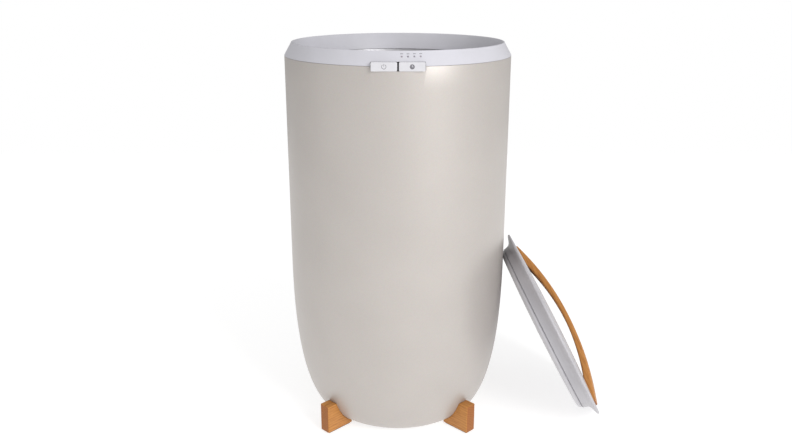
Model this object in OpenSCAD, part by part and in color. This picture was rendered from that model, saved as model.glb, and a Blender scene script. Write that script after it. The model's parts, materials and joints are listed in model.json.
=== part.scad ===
/* [Body] */
// Outer radius of the body
body_r = 150; // [120:1:180]
// Overall height, feet to rim
body_h = 528; // [450:1:620]
// Wall thickness of the outer shell
shell_t = 2.5; // [1.5:0.5:4]
// Height where the straight wall starts to curve in
knee_z = 237; // [180:1:300]
// Clearance under the flat bottom
base_z = 4; // [4:0.5:10]
// Radius of the flat bottom
base_r = 88; // [86:1:96]
// Fullness of the bottom curve, 2 is an ellipse
bulge = 2.45; // [2:0.05:3]

/* [Rim ring] */
// Height of the sloping ring on top
ring_h = 17.1; // [14:0.1:20]
// Radius of the ring's top edge
mouth_r = 140.5; // [138:0.5:142]
// Radius at the foot of the ring's inner wall
lip_r = 131.8; // [131:0.1:133]
// Height of the ring's inner wall
lip_h = 22; // [20:1:24]

/* [Inner bucket] */
// Inner radius of the bucket
bucket_r = 135.2; // [134:0.1:136]
// Sheet thickness of the bucket
bucket_t = 1.4; // [1:0.1:1.5]
// Height of the bucket's bottom above the floor
bucket_z = 84; // [80:1:120]
// Corner radius of the bucket's bottom
bucket_corner = 24; // [18:1:30]

/* [Controls] */
// Width of one key
key_w = 31; // [20:1:31]
// Height of one key
key_h = 10.6; // [8:0.2:11]
// Gap between the two keys
key_gap = 2; // [1.5:0.5:4]
// How far the flat key faces stand proud at the middle
key_proud = 0.9; // [0.5:0.1:2]
// Travel of a key
key_travel = 1; // [0.5:0.1:1]
// Distance between two indicator lights
light_pitch = 7.4; // [6:0.2:8]

/* [Feet] */
// Distance from the axis to a foot's outer end
foot_r = 143.8; // [135:0.1:150]
// Width of a foot
foot_w = 16; // [12:1:24]
// Height of a foot at its outer end
foot_h = 41.5; // [35:0.5:50]
// Thickness of the pad under a foot
pad_t = 1.2; // [1:0.1:2]

/* [Lid] */
// Radius of the lid's rim
lid_r = 142.5; // [141:0.5:146]
// Height of the domed top over the rim's edge
lid_crown = 4.1; // [2:0.1:6]
// Depth of the plug below the rim
lid_depth = 21.5; // [20:0.5:24]
// Angle between the leaning lid and the floor
lid_tilt = 62.5; // [61:0.5:66]
// Turn of the leaning lid about the vertical
lid_yaw = 1.4; // [-3:0.2:3]
// Where the leaning lid's centre stands, X and Y
lid_at = [225.2, -12]; // [-20:0.2:300]

/* [Handle] */
// Height of the bowed handle over the lid's rim
handle_rise = 26; // [22:0.5:36]
// Thickness of the handle at its middle
handle_t = 7.6; // [6:0.2:10]
// Width of the handle
handle_w = 24; // [18:1:30]
// Half of the handle's length
handle_reach = 133; // [125:1:135]
// Turn of the handle about the lid's axis
handle_turn = -50; // [-90:1:90]

/* [Hidden] */
$fn = 96;

cream = "#d6d2cc";
pearl = "#dcdbe2";
plastic = "#dedce2";
grey = "#a9a7aa";
wood = "#c98d4f";
metal = "#b9bbbd";
rubber = "#4a4a4c";

fit = 0.15;                         // gap between seated pieces
seam = 0.3;                         // gap between shell and ring
seam_z = body_h - ring_h;
shell_top = seam_z - seam;
ledge_z = shell_top - 2.6;          // top of the ledge inside the shell
ledge_t = 2.5;
ledge_r = 138;
flange_r = 141.4;                   // rolled rim of the bucket
gasket_t = 1.4;
web_z = ledge_z + bucket_t + gasket_t + 2 * fit;

hatch_r = 84;                       // cover in the bottom
grip_r = 72;                        // rubber ring under the cover
ledge_hole_r = 76;
cover_t = 2.4;
inner_z = base_z + 5.1;             // inside of the shell's bottom

screw_ring_r = 144.3;               // screws from the shell into the ring
boss_r = 2.8;
spigot_r = body_r - shell_t - 0.3;  // ring's collar inside the shell
cover_screw_r = 80;
foot_screw_rs = [115, 124];
foot_wall = 2.4;                    // wall left under a foot screw's head
foot_angles = [225, 315, 135, 45];

key_mid_z = 510.6;
key_x = (key_w + key_gap) / 2;
key_face_y = body_r + key_proud;
key_back_r = key_face_y - 4;
pocket_w = 2 * key_w + key_gap + 1.2;
pocket_h = key_h + 1;
pocket_r = 141.7;                   // depth of the recess behind the keys
frame_r = key_back_r - key_travel - 0.3;
slope = atan2(ring_h - 0.3, body_r - mouth_r);  // rim ring against the horizontal
light_r = 144.1;
light_z = seam_z + 0.3 + (body_r - light_r) * tan(slope);
light_xs = [for (i = [0 : 3]) 4.2 + i * light_pitch];

gland_z = 56;
gland_y = 131;                      // seat of the gland's flange
cord_r = 3.6;

board_z = 24;
board_size = [92, 72, 1.6];
post_xy = [[-41, -31], [41, -31], [-41, 31], [41, 31]];

edge_h = 2.5;                       // height of the lid's rim edge
plug_r = 126;
seal_z = -14.2;
handle_arc = 435;
handle_inner_arc = 345;
handle_seat = 2.7;
handle_seat_x = 97;                 // where the pockets for its ends begin
handle_screw_x = 108;

// Outline of the bottom curve, from the knee to the flat bottom
function curve(r, flat_r, z0, steps = 16) = [for (i = [0 : steps])
    let (a = 90 * i / steps)
    [flat_r + (r - flat_r) * pow(cos(a), 2 / bulge),
     knee_z - (knee_z - z0) * pow(sin(a), 2 / bulge)]];

// Height and steepness of the outer wall's bottom curve at a radius
function wall_z(r) = knee_z - (knee_z - base_z)
    * pow(1 - pow((r - base_r) / (body_r - base_r), bulge), 1 / bulge);
function wall_slope(r) = atan(wall_z(r + 0.5) - wall_z(r - 0.5));

function unit(v) = v / norm(v);

function reversed(list) = [for (i = [len(list) - 1 : -1 : 0]) list[i]];

// Height of the lid's dome at a radius
function dome(r) = edge_h + lid_crown * (1 - pow(r / (lid_r - 1.5), 2));

module spin(points, fn = 180) rotate_extrude($fn = fn) polygon(points);

module tube(outer, inner, h, fn = 180) difference() {
    cylinder(r = outer, h = h, $fn = fn);
    translate([0, 0, -1]) cylinder(r = inner, h = h + 2, $fn = fn);
}

// Eight-sided wire swept through a list of points
module wire(points, r) {
    last = len(points) - 1;
    rings = [for (i = [0 : last])
        let (t = unit(points[min(i + 1, last)] - points[max(i - 1, 0)]),
             side = unit([1, 0, 0] - t.x * t))
        for (k = [0 : 7]) points[i] + r * (cos(45 * k) * side + sin(45 * k) * cross(t, side))];
    walls = [for (i = [0 : last - 1], k = [0 : 7])
        [8 * i + k, 8 * i + 8 + k, 8 * i + 8 + (k + 1) % 8, 8 * i + (k + 1) % 8]];
    polyhedron(rings, concat([[for (k = [0 : 7]) k]], walls,
        [[for (k = [7 : -1 : 0]) 8 * last + k]]));
}

// Cross-recessed screw with its head's underside at the origin, shank upward
module screw(head_r, head_h, shank_r, length) difference() {
    union() {
        translate([0, 0, -head_h]) cylinder(r = head_r, h = head_h, $fn = 32);
        cylinder(r = shank_r, h = length, $fn = 32);
    }
    for (a = [0, 90]) translate([0, 0, -head_h]) rotate(a)
        cube([head_r * 1.2, head_r * 0.26, head_h], center = true);
}

// Piece of a round wall at the front, straight at its ends
module front_sector(r0, r1, half_w, z0, z1) intersection() {
    translate([0, 0, z0]) tube(r1, r0, z1 - z0, 360);
    translate([-half_w, -r1 - 1, z0]) cube([2 * half_w, r1, z1 - z0]);
}

module body_solid(grow = 0) spin(concat(
    [[0, shell_top], [body_r + grow, shell_top]],
    curve(body_r + grow, base_r, base_z - grow), [[0, base_z - grow]]));

module shell_blank() spin(concat(
    [[body_r, shell_top]],
    curve(body_r, base_r, base_z),
    [[hatch_r + 0.3, base_z], [hatch_r + 0.3, base_z + cover_t + 0.2],
     [ledge_hole_r, base_z + cover_t + 0.2], [ledge_hole_r, inner_z]],
    reversed(curve(body_r - shell_t, base_r - 2, inner_z)),
    [[body_r - shell_t, ledge_z - ledge_t], [ledge_r, ledge_z - ledge_t],
     [ledge_r, ledge_z], [body_r - shell_t, ledge_z], [body_r - shell_t, shell_top]]));

module outer_shell() color(cream) difference() {
    union() {
        shell_blank();
        intersection() {
            translate([0, gland_y - 9, gland_z]) rotate([-90, 0, 0])
                cylinder(r = 13, h = 30, $fn = 48);
            body_solid();
        }
        for (a = [45 : 90 : 315]) rotate(a)
            translate([cover_screw_r, 0, inner_z - 1]) cylinder(r = 3.5, h = 9, $fn = 32);
    }
    front_sector(pocket_r, body_r + 2, pocket_w / 2,
        key_mid_z - pocket_h / 2, key_mid_z + pocket_h / 2);
    for (a = [0 : 60 : 300]) rotate(a)
        translate([screw_ring_r, 0, ledge_z - ledge_t - 1]) cylinder(r = 1.6, h = 5, $fn = 24);
    for (a = [45 : 90 : 315]) rotate(a) {
        translate([cover_screw_r, 0, base_z]) cylinder(r = 1.45, h = 12, $fn = 24);
        for (r = foot_screw_rs) foot_screw_axis(r) {
            translate([0, 0, -10]) cylinder(r = 1.8, h = 20, $fn = 24);
            translate([0, 0, -15 - foot_wall]) cylinder(r = 3.8, h = 15, $fn = 32);
        }
    }
    translate([0, gland_y, gland_z]) rotate([-90, 0, 0]) cylinder(r = 10, h = 20, $fn = 48);
    translate([0, gland_y - 12, gland_z]) rotate([-90, 0, 0])
        cylinder(r = 6.2, h = 20, $fn = 48);
}

// Frame square to the wall at a foot screw, Z outward into the foot
module foot_screw_axis(r) translate([r, 0, wall_z(r)])
    rotate([0, 180 - wall_slope(r), 0]) children();

module rim_ring() color(pearl) difference() {
    union() {
        spin([[body_r, seam_z], [body_r, seam_z + 0.3],
            [mouth_r + 0.9, body_h - 1.6], [mouth_r + 0.5, body_h - 0.6],
            [mouth_r - 0.3, body_h], [mouth_r - 1.2, body_h - 0.2],
            [mouth_r - 1.8, body_h - 1], [136.2, body_h - 8],
            [133.8, body_h - 14.5], [132.5, body_h - 19], [lip_r, body_h - lip_h],
            [133.9, body_h - lip_h], [134.4, web_z], [flange_r, web_z],
            [flange_r, web_z + 1.8], [136.8, web_z + 1.8], [137.4, 516],
            [140.2, 522.4], [spigot_r, 510], [spigot_r, seam_z]]);
        for (a = [0 : 60 : 300]) rotate(a)
            translate([screw_ring_r, 0, ledge_z + 0.2])
                cylinder(r = boss_r, h = 7.8, $fn = 32);
    }
    front_sector(pocket_r, body_r + 2, pocket_w / 2,
        key_mid_z - pocket_h / 2, key_mid_z + pocket_h / 2);
    for (a = [0 : 60 : 300]) rotate(a)
        translate([screw_ring_r, 0, ledge_z]) cylinder(r = 1.3, h = 7, $fn = 24);
    for (x = light_xs) light_axis(x) translate([0, 0, -6]) cylinder(r = 1.15, h = 8, $fn = 24);
}

// Frame on the ring's slope at an indicator light, Z outward
module light_axis(x) translate([x, -sqrt(light_r * light_r - x * x), light_z])
    rotate(asin(x / light_r)) rotate([slope, 0, 0]) children();

module inner_bucket() color(metal) {
    c = bucket_corner;
    r = bucket_r;
    t = bucket_t;
    inside = [for (a = [0 : 15 : 90])
        [r - c + c * sin(a), bucket_z + t + c - c * cos(a)]];
    outside = [for (a = [90 : -15 : 0])
        [r - c + (c + t) * sin(a), bucket_z + t + c - (c + t) * cos(a)]];
    spin(concat([[0, bucket_z + t]], inside,
        [[r, ledge_z + t + fit], [flange_r, ledge_z + t + fit],
         [flange_r, ledge_z + fit], [r + t, ledge_z + fit]],
        outside, [[0, bucket_z]]));
}

module bucket_gasket() color(rubber)
    translate([0, 0, ledge_z + bucket_t + fit]) tube(flange_r - 0.2, 136.4, gasket_t);

module heater_wrap() color("#a34a35")
    translate([0, 0, 125]) tube(bucket_r + bucket_t + 1, bucket_r + bucket_t + 0.2, 290);

module insulation_sleeve() color("#e8e4d8") difference() {
    r = bucket_r + bucket_t + 1.4;
    spin([[r, 130], [142.2, 130], [body_r - shell_t - 1, 205],
        [body_r - shell_t - 1, 498], [r, 498]]);
    translate([-7, -body_r, 120]) cube([14, 11, 400]);
    translate([-20, body_r - 20, 120]) cube([40, 20, 20]);
}

module insulation_disc() color("#e8e4d8")
    translate([0, 0, bucket_z - 12]) tube(110, 40, 11.5, 96);

module thermostat() color("#dddddd") {
    translate([0, 0, bucket_z - 3]) cylinder(r = 11, h = 2.9, $fn = 48);
    translate([0, 0, bucket_z - 11]) cylinder(r = 8, h = 8, $fn = 48);
    for (x = [-4, 4]) translate([x - 0.4, -2.5, bucket_z - 18]) cube([0.8, 5, 8]);
}

module thermal_fuse() color("#b08d57") {
    translate([-10, 24, bucket_z - 2.4]) rotate([0, 90, 0]) cylinder(r = 2.2, h = 20, $fn = 32);
    for (x = [-18, 10]) translate([x, 24, bucket_z - 2.4]) rotate([0, 90, 0])
        cylinder(r = 0.6, h = 8, $fn = 24);
}

module base_cover() color("#77777a") difference() {
    union() {
        translate([0, 0, base_z]) cylinder(r = hatch_r, h = cover_t, $fn = 180);
        for (p = post_xy) translate([p.x, p.y, base_z])
            cylinder(r = 3.5, h = board_z - base_z, $fn = 32);
    }
    for (a = [45 : 90 : 315]) rotate(a) translate([cover_screw_r, 0, base_z - 1]) {
        cylinder(r = 1.7, h = 5, $fn = 24);
        cylinder(r = 3.2, h = 2.2, $fn = 24);
    }
    for (p = post_xy) translate([p.x, p.y, board_z - 8]) cylinder(r = 1.3, h = 9, $fn = 24);
    for (i = [-4 : 4]) translate([i * 8 - 1.5, -25, base_z - 1]) cube([3, 50, cover_t + 2]);
}

module base_screws() color(metal) for (a = [45 : 90 : 315]) rotate(a)
    translate([cover_screw_r, 0, base_z + 1.2]) screw(2.9, 1.1, 1.35, 8);

module control_board() color("#2f6b3c") translate([0, 0, board_z]) difference() {
    translate([-board_size.x / 2, -board_size.y / 2, 0]) cube(board_size);
    for (p = post_xy) translate([p.x, p.y, -1]) cylinder(r = 1.6, h = 4, $fn = 24);
}

module on_board(x, y) translate([x, y, board_z + board_size.z]) children();

module board_relay() color("#2b4f9e") on_board(-34, -20) cube([16, 20, 15]);

module board_transformer() color("#e0b23c") on_board(2, -28) {
    cube([24, 22, 16]);
    translate([-3, 4, 3]) cube([30, 14, 10]);
}

module board_capacitor() color("#23262b") on_board(-2, 12) cylinder(r = 6, h = 18, $fn = 48);

module terminal_block() color("#3f8f4f") on_board(-32, 20) difference() {
    cube([26, 10, 11]);
    for (i = [0 : 3]) translate([3.5 + i * 6.3, 5, 5]) cylinder(r = 1.8, h = 8, $fn = 24);
}

module board_screws() color(metal) for (p = post_xy)
    translate([p.x, p.y, board_z + board_size.z]) rotate([180, 0, 0]) screw(2.8, 1.8, 1.2, 8);

module display_board() color("#2f6b3c")
    front_sector(pocket_r + 0.3, pocket_r + 1.5, pocket_w / 2 - 0.4,
        key_mid_z - pocket_h / 2 + 0.3, key_mid_z + pocket_h / 2 - 0.3);

module tact_switches() color("#303033") for (x = [-key_x, key_x])
    rotate(asin(x / pocket_r)) translate([0, -pocket_r - 1.5, key_mid_z])
        rotate([90, 0, 0]) cylinder(r = 2.2, h = 0.9, $fn = 32);

module led_lenses() color("white") for (x = light_xs)
    light_axis(x) translate([0, 0, -3.6]) cylinder(r = 1.05, h = 3.8, $fn = 24);

module key_frame() color("#3a3a3d") difference() {
    front_sector(frame_r - 0.8, frame_r, pocket_w / 2 - 0.3,
        key_mid_z - pocket_h / 2 + 0.2, key_mid_z + pocket_h / 2 - 0.2);
    for (x = [-key_x, key_x]) translate([x, -frame_r - 2, key_mid_z])
        rotate([-90, 0, 0]) cylinder(r = 2.8, h = 12, $fn = 32);
}

module rim_screws() color(metal) for (a = [0 : 60 : 300]) rotate(a)
    translate([screw_ring_r, 0, ledge_z - ledge_t - 0.05]) screw(2.6, 1.8, 1.25, 9);

module cord_gland() color("#8c8a8c") translate([0, gland_y, gland_z]) rotate([-90, 0, 0])
    difference() {
        union() {
            translate([0, 0, 0.05]) cylinder(r = 9.5, h = 2.8, $fn = 64);
            translate([0, 0, 2.85]) cylinder(r = 7.2, h = 2.2, $fn = 64);
            translate([0, 0, -14]) cylinder(r = 6, h = 16, $fn = 64);
        }
        translate([0, 0, -20]) cylinder(r = cord_r, h = 40, $fn = 48);
    }

module gland_nut() color("#8c8a8c") translate([0, gland_y - 9.1, gland_z]) rotate([90, 0, 0])
    difference() {
        cylinder(r = 10, h = 3.6, $fn = 6);
        translate([0, 0, -1]) cylinder(r = 6.05, h = 6, $fn = 48);
    }

module mains_wires() for (i = [-1 : 1]) color(["#7a4a2a", "#3d7a3d", "#2f56a0"][i + 1])
    wire([[i * 2.8, 116, gland_z], [i * 2.8, 100, gland_z - 2], [i * 4 - 14, 60, 48],
        [i * 6.3 - 22.2, 34, 45], [i * 6.3 - 22.2, 27, 42], [i * 6.3 - 22.2, 25, 37]], 1.1);

module heater_wires() color("#e9e7e0") for (x = [-8, 8])
    wire([[x, 139, 124], [x, 139, 112], [x, 135, 92], [x, 128, 74], [x, 112, 69],
        [x + 8, 60, 56], [x + 12, 34, 42], [x + 12, 28, 26]], 1.2);

module display_cable() color("#c9c9cc")
    wire([[0, -143.2, 504.2], [0, -143.2, 200], [0, -140.5, 125], [0, -137, 100],
        [0, -130, 78], [0, -90, 52], [0, -46, 44], [0, -36, 38], [0, -33, 26]], 1.2);

module wooden_foot(angle) color(wood) rotate(angle) difference() {
    translate([100, -foot_w / 2, pad_t]) cube([foot_r - 100, foot_w, foot_h - pad_t]);
    body_solid(fit);
    for (r = foot_screw_rs) foot_screw_axis(r) cylinder(r = 1.6, h = 14, $fn = 24);
}

module foot_pads() color(rubber) for (a = foot_angles) rotate(a)
    translate([103, -foot_w / 2 + 1, 0]) cube([foot_r - 105, foot_w - 2, pad_t]);

// Anti-slip ring under the bottom, level with the foot pads
module grip_ring() color(rubber) tube(grip_r, grip_r - 6, base_z);

module foot_screws() color(metal) for (a = foot_angles, r = foot_screw_rs) rotate(a)
    foot_screw_axis(r) translate([0, 0, -foot_wall - 0.05]) screw(3.3, 2.2, 1.5, 15);

// Flat-faced key with a round back and a stem for its switch
module key(side) {
    x = side * key_x;
    difference() {
        translate([x - key_w / 2, -key_face_y, key_mid_z - key_h / 2])
            cube([key_w, key_face_y - key_back_r * 0.9, key_h]);
        cylinder(r = key_back_r, h = body_h, $fn = 360);
    }
    translate([x, -sqrt(key_back_r * key_back_r - x * x) - 0.5, key_mid_z])
        rotate([-90, 0, 0]) cylinder(r = 2.2, h = 1.7, $fn = 32);
}

module power_button() color(plastic) key(-1);

module timer_button() color(plastic) key(1);

// Places the lid on the floor, leaning against the body
module leaning() translate([lid_at.x, lid_at.y, lid_r * sin(lid_tilt)])
    rotate(lid_yaw) rotate([0, lid_tilt, 0]) children();

dome_rs = [0 : 23.5 : 141];

module lid_top() color(grey) leaning() difference() {
    union() {
        spin(concat([for (r = dome_rs) [r, dome(r)]],
            [[lid_r - 0.3, 2], [lid_r, 1.4], [lid_r, 0], [lid_r - 0.8, -0.6],
             [137, -2.6], [131.5, -4.4], [128.6, -6.4], [127, -9.4],
             [plug_r, seal_z], [123.4, seal_z], [123.4, -3], [118, dome(118) - 2.6]],
            [for (r = [94 : -23.5 : 0]) [r, dome(r) - 2.6]]));
        for (side = [0, 180]) rotate(handle_turn + side) translate([handle_screw_x, 0, -2.5])
            cylinder(r = 7, h = 5.5, $fn = 48);
    }
    for (side = [0, 180]) rotate(handle_turn + side) {
        translate([handle_seat_x, -handle_w / 2 - fit, handle_seat - fit])
            cube([handle_reach - handle_seat_x + fit, handle_w + 2 * fit, 10]);
        translate([handle_screw_x, 0, -5]) cylinder(r = 1.9, h = 12, $fn = 24);
    }
}

module lid_pan() color("#b9b7ba") leaning() {
    z = -lid_depth + 0.4;
    spin(concat([for (r = [0 : 23.5 : 117.5]) [r, z - 3 * (1 - pow(r / 120, 2))]],
        [[121.4, z + 0.7], [123.6, z + 2.4], [124.5, z + 4.6], [124.5, seal_z - 0.9],
         [123.1, seal_z - 0.9], [123.1, seal_z + 4], [121.6, seal_z + 4],
         [121.6, z + 3.2], [119.4, z + 1.9]],
        [for (r = [94 : -23.5 : 0]) [r, z + 1.5 - 3 * (1 - pow(r / 120, 2))]]));
}

module lid_seal() color("#6f6d70") leaning() translate([0, 0, seal_z - 0.85])
    tube(126.3, 123.4, 0.8);

module lid_insulation() color("#e8e4d8") leaning() difference() {
    translate([0, 0, -18.5]) cylinder(r = 118, h = 18, $fn = 120);
    rotate(handle_turn) for (x = [-1, 1]) translate([x * handle_screw_x, 0, -10])
        cylinder(r = 7.4, h = 12, $fn = 32);
}

module lid_handle() color(wood) leaning() rotate(handle_turn) difference() {
    intersection() {
        translate([0, handle_w / 2, handle_rise - handle_arc]) rotate([90, 0, 0])
            cylinder(r = handle_arc, h = handle_w, $fn = 720);
        translate([-handle_reach, -handle_w / 2, handle_seat])
            cube([2 * handle_reach, handle_w, 40]);
    }
    translate([0, handle_w / 2 + 1, handle_rise - handle_t - handle_inner_arc])
        rotate([90, 0, 0]) cylinder(r = handle_inner_arc, h = handle_w + 2, $fn = 720);
    for (x = [-1, 1]) translate([x * handle_screw_x, 0, 0]) cylinder(r = 1.6, h = 8.6, $fn = 24);
}

module handle_screws() color(metal) leaning() rotate(handle_turn) for (x = [-1, 1])
    translate([x * handle_screw_x, 0, -2.55]) screw(3.4, 2, 1.5, 10.5);

outer_shell();
rim_ring();
inner_bucket();
bucket_gasket();
heater_wrap();
insulation_sleeve();
insulation_disc();
thermostat();
thermal_fuse();
base_cover();
base_screws();
control_board();
board_relay();
board_transformer();
board_capacitor();
terminal_block();
board_screws();
display_board();
tact_switches();
led_lenses();
key_frame();
rim_screws();
cord_gland();
gland_nut();
mains_wires();
heater_wires();
display_cable();
wooden_foot(foot_angles[0]);  // foot_front_left
wooden_foot(foot_angles[1]);  // foot_front_right
wooden_foot(foot_angles[2]);  // foot_rear_left
wooden_foot(foot_angles[3]);  // foot_rear_right
foot_pads();
grip_ring();
foot_screws();
power_button();
timer_button();
lid_top();
lid_pan();
lid_seal();
lid_insulation();
lid_handle();
handle_screws();
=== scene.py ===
import json
import math

import bmesh
import bpy
from mathutils import Matrix, Vector


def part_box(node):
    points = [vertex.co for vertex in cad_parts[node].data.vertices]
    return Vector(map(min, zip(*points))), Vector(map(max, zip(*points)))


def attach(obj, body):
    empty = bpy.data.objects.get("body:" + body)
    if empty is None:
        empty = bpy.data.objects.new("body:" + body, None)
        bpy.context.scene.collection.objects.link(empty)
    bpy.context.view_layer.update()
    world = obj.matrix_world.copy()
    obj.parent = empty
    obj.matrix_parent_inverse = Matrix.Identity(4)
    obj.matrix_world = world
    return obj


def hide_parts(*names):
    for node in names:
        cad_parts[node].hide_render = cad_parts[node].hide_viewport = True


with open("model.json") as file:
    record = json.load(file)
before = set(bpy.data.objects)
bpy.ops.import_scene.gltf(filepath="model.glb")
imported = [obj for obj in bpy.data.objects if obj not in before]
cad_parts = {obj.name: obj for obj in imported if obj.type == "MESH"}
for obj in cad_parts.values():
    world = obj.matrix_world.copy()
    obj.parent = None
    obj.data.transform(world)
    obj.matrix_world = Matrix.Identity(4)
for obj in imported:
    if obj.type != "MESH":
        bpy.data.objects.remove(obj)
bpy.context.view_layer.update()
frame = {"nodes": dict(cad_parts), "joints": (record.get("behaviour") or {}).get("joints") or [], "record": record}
mm = 0.001
print("frame loaded:", len(frame["nodes"]), "pieces")


# camera

camera = {
    "place": (-0.00234, -1.10576, 0.61824),
    "pitchDown": 17.262,    # degrees below level
    "lens": 37.095,
    "sensor": 36.0,
}


def addCamera(s):
    data = bpy.data.cameras.new("productCamera")
    data.sensor_width = s["sensor"]
    data.lens = s["lens"]
    eye = bpy.data.objects.new("productCamera", data)
    eye.location = s["place"]
    eye.rotation_euler = (math.radians(90 - s["pitchDown"]), 0, 0)
    bpy.context.collection.objects.link(eye)
    bpy.context.scene.camera = eye


addCamera(camera)
print("camera in place")


# nodes, for shaders and for geometry

families = ("ShaderNode", "GeometryNode", "FunctionNode", "Node")
colourA, colourB, mixedColour = 6, 7, 2     # a Mix node's colour sockets, which share names with others


def toLinear(hexTone):
    def channel(c):
        return c / 12.92 if c <= 0.04045 else ((c + 0.055) / 1.055) ** 2.4
    return tuple(channel(int(hexTone[i:i + 2], 16) / 255) for i in (1, 3, 5)) + (1.0,)


def perMetre(sizeMm):
    return 1000 / sizeMm


def socketOf(source):
    return source.outputs[0] if isinstance(source, bpy.types.Node) else source


# An input is a value, a socket, or a node that gives its first output. Stops are places and hex tones.
def add(tree, kind, inputs=None, stops=(), **settings):
    family = [f for f in families if hasattr(bpy.types, f + kind)][0]
    node = tree.nodes.new(family + kind)
    for name, value in settings.items():
        setattr(node, name, value)
    for key, value in (inputs or {}).items():
        value = socketOf(value)
        if isinstance(value, bpy.types.NodeSocket):
            tree.links.new(value, node.inputs[key])
        else:
            node.inputs[key].default_value = value
    for i, (at, tone) in enumerate(stops):
        spot = node.color_ramp.elements[i] if i < 2 else node.color_ramp.elements.new(at)
        spot.position = at
        spot.color = toLinear(tone)
    return node


# finishes

def startFinish(name, constants):
    finish = bpy.data.materials.new(name)
    finish.use_nodes = True
    tree = finish.node_tree
    tree.nodes.clear()
    add(tree, "OutputMaterial", {"Surface": add(tree, "BsdfPrincipled", constants)})
    return finish, tree, add(tree, "TexCoord").outputs["Object"]


# Puts a colour, a roughness and one pattern's bump on the finish.
def endFinish(finish, colour, rough=None, height=None, strength=0.25, depthMm=0.04, **settings):
    tree = finish.node_tree
    ends = {"Base Color": colour, "Roughness": rough}
    if height:
        ends["Normal"] = add(tree, "Bump", {"Height": height, "Strength": strength,
                                            "Distance": depthMm * mm}, **settings)
    for name, source in ends.items():
        if source:
            tree.links.new(socketOf(source), tree.nodes["Principled BSDF"].inputs[name])
    return finish


# A moulded plastic: two close tones in soft clouds, a roughness that wanders a little,
# and the grain of the tool's surface.
def mouldedPlastic(name, light, dark, cloudMm, grainMm, smoothest, roughest, depthMm, constants=None):
    finish, tree, place = startFinish(name, constants or {"IOR": 1.5})
    cloud = add(tree, "TexNoise", {"Vector": place, "Scale": perMetre(cloudMm), "Detail": 3.0})
    tone = add(tree, "ValToRGB", {"Fac": cloud}, [(0.35, dark), (0.65, light)])
    grain = add(tree, "TexNoise", {"Vector": place, "Scale": perMetre(grainMm), "Detail": 2.0})
    rough = add(tree, "MapRange", {"Value": grain, "From Min": 0.3, "From Max": 0.7,
                                   "To Min": smoothest, "To Max": roughest})
    return endFinish(finish, tone, rough, grain, 0.25, depthMm)


# Satin pearl paint sprayed on ABS: warm champagne with a cool painted glint where the flake turns,
# a broad soft gloss and faint orange peel.
def satinPearlPaint():
    finish, tree, place = startFinish("satinPearlPaint", {
        "IOR": 1.5, "Metallic": 0.4, "Coat Weight": 0.25, "Coat Roughness": 0.3, "Coat IOR": 1.5})
    cloud = add(tree, "TexNoise", {"Vector": place, "Scale": perMetre(60), "Detail": 3.0})
    tone = add(tree, "ValToRGB", {"Fac": cloud}, [(0.3, "#bab4af"), (0.7, "#bdb7b2")])
    flake = add(tree, "TexVoronoi", {"Vector": place, "Scale": perMetre(1.2)})    # real flake is 0.05 mm
    # painted flake glint: random cell tones lift and dim the base colour by a few percent
    lift = add(tree, "Mix", {"Factor": 0.05, colourA: tone, colourB: flake.outputs["Color"]},
               data_type="RGBA", blend_type="SOFT_LIGHT")
    rough = add(tree, "MapRange", {"Value": flake, "From Max": 0.8, "To Min": 0.42, "To Max": 0.52})
    peel = add(tree, "TexNoise", {"Vector": place, "Scale": perMetre(4.5), "Detail": 2.0})
    return endFinish(finish, lift.outputs[mixedColour], rough, peel, 0.12, 0.04)


# Aluminium sheet, spun and clear anodised: grey, softly bright,
# with the turning marks left by the spinning tool.
def anodisedAluminium():
    finish, tree, place = startFinish("anodisedAluminium", {"Metallic": 1.0, "Coat Weight": 0.0})
    parts = add(tree, "SeparateXYZ", {"Vector": place}).outputs
    flat = add(tree, "CombineXYZ", {"X": parts["X"], "Y": parts["Y"]})
    radius = add(tree, "VectorMath", {0: flat}, operation="LENGTH").outputs["Value"]
    turned = add(tree, "CombineXYZ", {"X": radius, "Y": parts["Z"]})
    lines = add(tree, "TexNoise", {"Vector": turned, "Scale": perMetre(2.2), "Detail": 4.0})
    tone = add(tree, "ValToRGB", {"Fac": lines}, [(0.3, "#c6c5c8"), (0.7, "#d8d7da")])
    rough = add(tree, "MapRange", {"Value": lines, "To Min": 0.36, "To Max": 0.56})
    return endFinish(finish, tone, rough, lines, 0.3, 0.05)


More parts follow.
